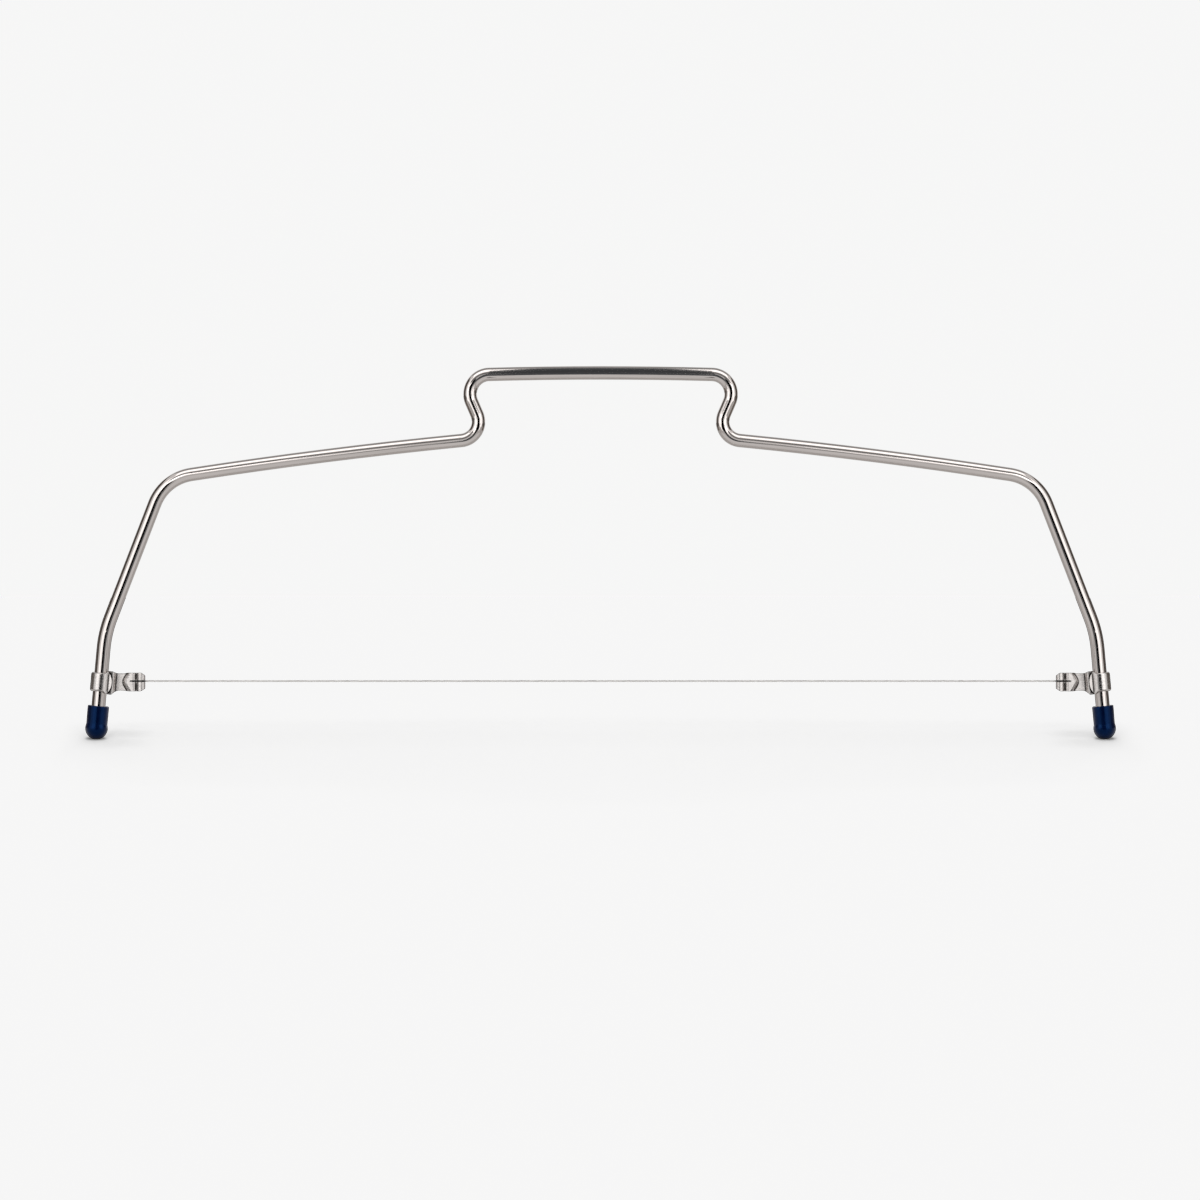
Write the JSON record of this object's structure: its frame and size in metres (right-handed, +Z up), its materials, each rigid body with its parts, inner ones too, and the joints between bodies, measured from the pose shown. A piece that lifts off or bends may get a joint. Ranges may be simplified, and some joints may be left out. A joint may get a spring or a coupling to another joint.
{
  "type": "cake leveler",
  "caption": "Bent steel rod frame with a raised handle and soft foot caps, holding a taut cutting wire between sheet-steel clips that slide on the legs to set the cake layer's height.",
  "frame": {"origin": "on the table, midway between the two feet", "axes": "+X along the cutting wire, +Z up through the handle, -Y the front, where the clips' flaps lie"},
  "size_m": [0.32, 0.0068, 0.1157],
  "materials": {
    "rod_steel": "drawn stainless rod, satin polish with faint lines along it",
    "cap_vinyl": "dark blue dipped vinyl, semi-gloss",
    "clip_steel": "stamped stainless sheet, tumbled",
    "wire_steel": "bright drawn wire",
    "ferrule_steel": "crimped sleeve"
  },
  "bodies": {
    "frame": {"frame_rod": "rod_steel", "left_foot_cap": "cap_vinyl", "right_foot_cap": "cap_vinyl"},
    "left_clip": {"left_clip": "clip_steel"},
    "right_clip": {"right_clip": "clip_steel"},
    "wire": {"cutting_wire": "wire_steel", "left_wire_ferrule": "ferrule_steel", "right_wire_ferrule": "ferrule_steel"}
  },
  "joints": [
    {"name": "left_clip_slide", "type": "slide", "parent": "frame", "child": "left_clip", "axis": [0.0889, 0, 0.996], "range_m": [-0.0036, 0.0071]},
    {"name": "right_clip_slide", "type": "slide", "parent": "frame", "child": "right_clip", "axis": [-0.0889, 0, 0.996], "range_m": [-0.0036, 0.0071]},
    {"name": "wire_height", "type": "slide", "parent": "frame", "child": "wire", "axis": [0, 0, 1], "range_m": [-0.0036, 0.0071]}
  ],
  "couplings": [
    {"joint": "right_clip_slide", "follows": "left_clip_slide", "ratio": 1},
    {"joint": "wire_height", "follows": "left_clip_slide", "ratio": 0.99604}
  ]
}
